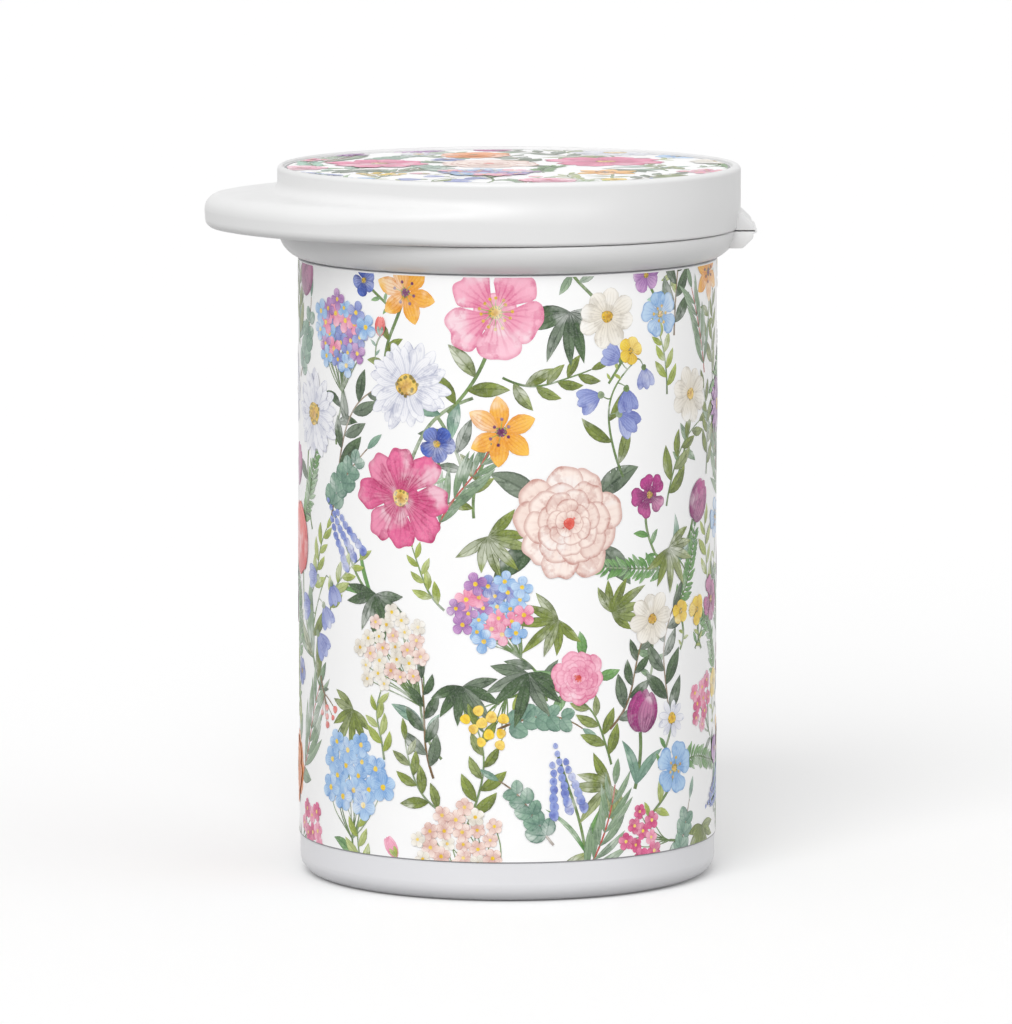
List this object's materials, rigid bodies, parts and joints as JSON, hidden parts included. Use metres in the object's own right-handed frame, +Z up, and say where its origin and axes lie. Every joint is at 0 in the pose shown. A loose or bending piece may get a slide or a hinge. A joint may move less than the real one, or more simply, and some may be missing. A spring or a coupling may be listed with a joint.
{
  "type": "talcum powder tub",
  "caption": "Round white plastic talcum powder tub with a flip-top lid, thumb tab, film hinge, sifter under the lid and a floral wrap-round label.",
  "frame": {"origin": "on the tub's axis, on the plane that the foot ring stands on", "axes": "+Z up along the tub's axis, -X towards the thumb tab, +X towards the film hinge"},
  "size_m": [0.0793, 0.0676, 0.1023],
  "materials": {
    "tub_plastic": "semi-gloss white polypropylene",
    "closure_plastic": "satin white polypropylene, fine moulding texture",
    "sifter_plastic": "satin natural white polyethylene",
    "liner_foam": "matt white polyethylene foam",
    "label_film": "satin white label film with a printed pattern of scattered flowers"
  },
  "bodies": {
    "tub": {"tub": "tub_plastic", "closure_ring": "closure_plastic", "sifter": "sifter_plastic", "film_hinge": "closure_plastic", "body_label": "label_film"},
    "lid": {"lid": "closure_plastic", "lid_liner": "liner_foam", "lid_label": "label_film"}
  },
  "joints": [
    {"name": "lid_hinge", "type": "hinge", "parent": "tub", "child": "lid", "pos_m": [0.0353, 0, 0.0932], "axis": [0, 1, 0], "range_deg": [0, 175], "deforming": ["film_hinge"]}
  ]
}
